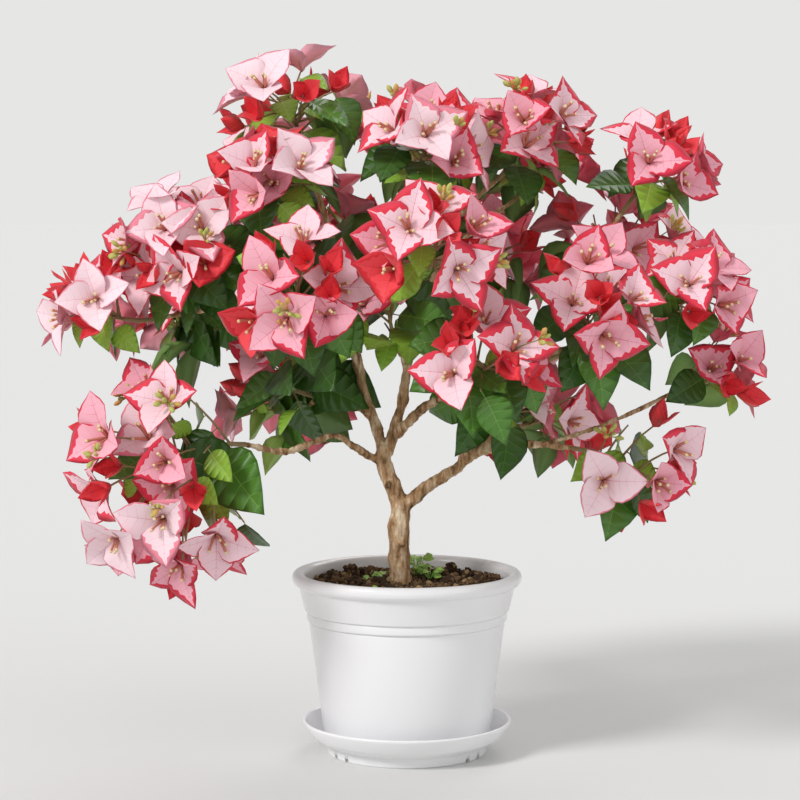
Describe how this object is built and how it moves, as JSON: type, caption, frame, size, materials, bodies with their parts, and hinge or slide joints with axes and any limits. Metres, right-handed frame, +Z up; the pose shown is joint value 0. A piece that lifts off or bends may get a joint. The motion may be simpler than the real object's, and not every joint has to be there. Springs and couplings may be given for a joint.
{
  "type": "potted bougainvillea bush",
  "caption": "Flowering shrub trained as a small tree, with papery pink bracts and a branching crown, in a round pot that stands on a saucer.",
  "frame": {"origin": "centre of the saucer's flat underside, which stands on the floor", "axes": "+Z up along the pot's axis; -Y towards the front of the bush, which is the side the low left-hand spray hangs forward of; +X to the right seen from the front"},
  "size_m": [0.5635, 0.4471, 0.5563],
  "materials": {
    "pot": "gloss",
    "saucer": "gloss",
    "soil": "matte, crumbly",
    "bark": "rough bark",
    "foliage": "soft, papery"
  },
  "bodies": {
    "root": {"saucer": "saucer", "pot": "pot", "soil": "soil", "trunk": "bark", "bough_low_left": "bark", "bough_low_right": "bark", "bough_left_leader": "bark", "bough_middle_leader": "bark", "bough_right_leader": "bark", "bough_left_tip": "bark", "bough_left_shoulder": "bark", "bough_upper_left": "bark", "bough_top_right": "bark", "bough_upper_right": "bark", "bough_front_left": "bark", "bough_front_middle": "bark", "bough_front_right": "bark", "bough_right_middle": "bark", "bough_far_right": "bark", "bough_inner_left": "bark", "bough_inner_right": "bark", "bough_inner_middle": "bark", "bough_back_left": "bark", "bough_back_middle_left": "bark", "bough_back_middle_right": "bark", "bough_back_right": "bark", "bough_back_top_left": "bark", "bough_back_top": "bark", "bough_back_top_right": "bark", "bough_back_low_left": "bark", "bough_back_low_right": "bark", "foliage_low_left": "foliage", "foliage_left_tip": "foliage", "foliage_left_shoulder": "foliage", "foliage_upper_left": "foliage", "foliage_top_left": "foliage", "foliage_top_middle": "foliage", "foliage_top_right": "foliage", "foliage_upper_right": "foliage", "foliage_front_left": "foliage", "foliage_front_middle": "foliage", "foliage_front_right": "foliage", "foliage_right_front": "foliage", "foliage_right_middle": "foliage", "foliage_far_right": "foliage", "foliage_low_right": "foliage", "foliage_inner_left": "foliage", "foliage_inner_right": "foliage", "foliage_inner_middle": "foliage", "foliage_back_left": "foliage", "foliage_back_middle_left": "foliage", "foliage_back_middle_right": "foliage", "foliage_back_right": "foliage", "foliage_back_top_left": "foliage", "foliage_back_top": "foliage", "foliage_back_top_right": "foliage", "foliage_back_low_left": "foliage", "foliage_back_low_right": "foliage"}
  },
  "joints": []
}
